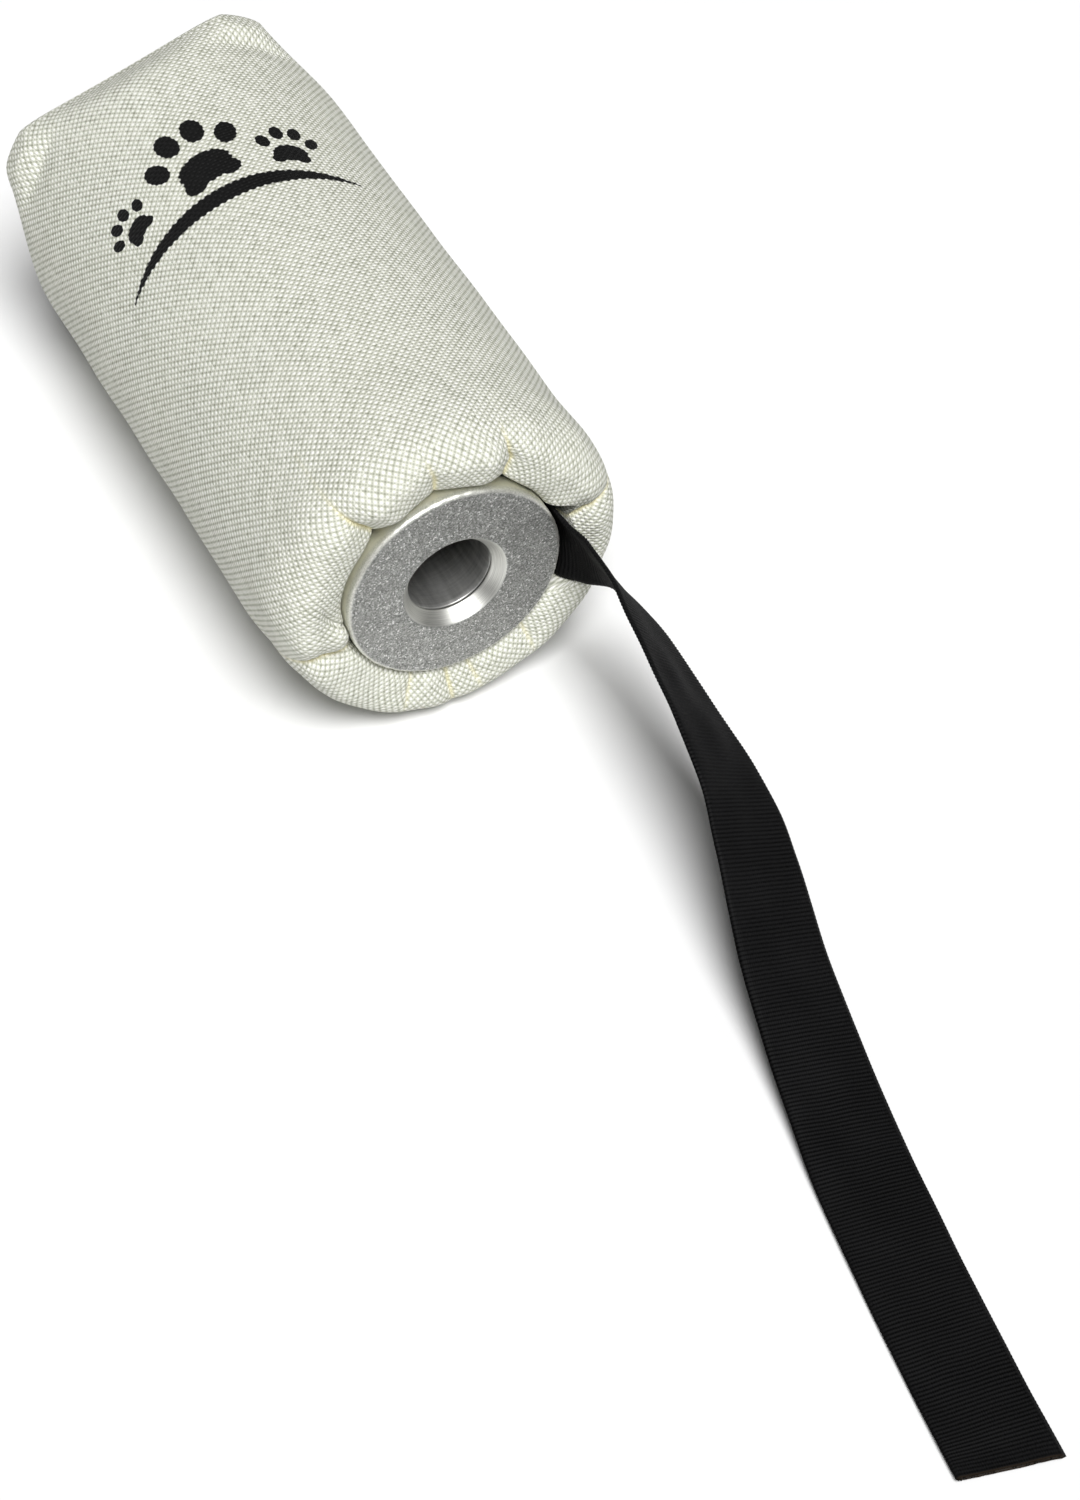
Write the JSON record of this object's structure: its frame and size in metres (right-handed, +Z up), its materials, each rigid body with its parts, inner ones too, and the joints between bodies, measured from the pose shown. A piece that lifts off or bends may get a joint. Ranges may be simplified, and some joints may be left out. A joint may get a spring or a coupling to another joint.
{
  "type": "training bumper",
  "caption": "Launcher-type dog training bumper: canvas over foam, pleated behind a cast flange with a blind launching bore, with a webbing streamer.",
  "frame": {"origin": "on the surface that the bumper lies on, under the middle of its body, the streamer left out", "axes": "+Y along the body's axis, away from the flange; +Z up; the flange and its bore face -Y"},
  "size_m": [0.076, 0.3535, 0.0754],
  "materials": {
    "cast_aluminium": "blasted, bright machined edges",
    "machined_aluminium": "smooth bore, scuffed",
    "white_canvas": "coarse plain-weave nylon canvas",
    "foam": "closed-cell foam",
    "black_webbing": "ribbed grosgrain webbing",
    "white_thread": "twisted nylon thread and cord"
  },
  "bodies": {
    "root": {"front_flange": "cast_aluminium", "launcher_tube": "machined_aluminium", "tube_plug": "machined_aluminium", "foam_sleeve": "foam", "nose_pad": "foam", "canvas_cover": "white_canvas", "streamer": "black_webbing", "drawcord": "white_thread", "hem_thread": "white_thread", "side_seam_thread_a": "white_thread", "side_seam_thread_b": "white_thread", "end_seam_thread": "white_thread", "streamer_tack_thread": "white_thread"}
  },
  "joints": []
}
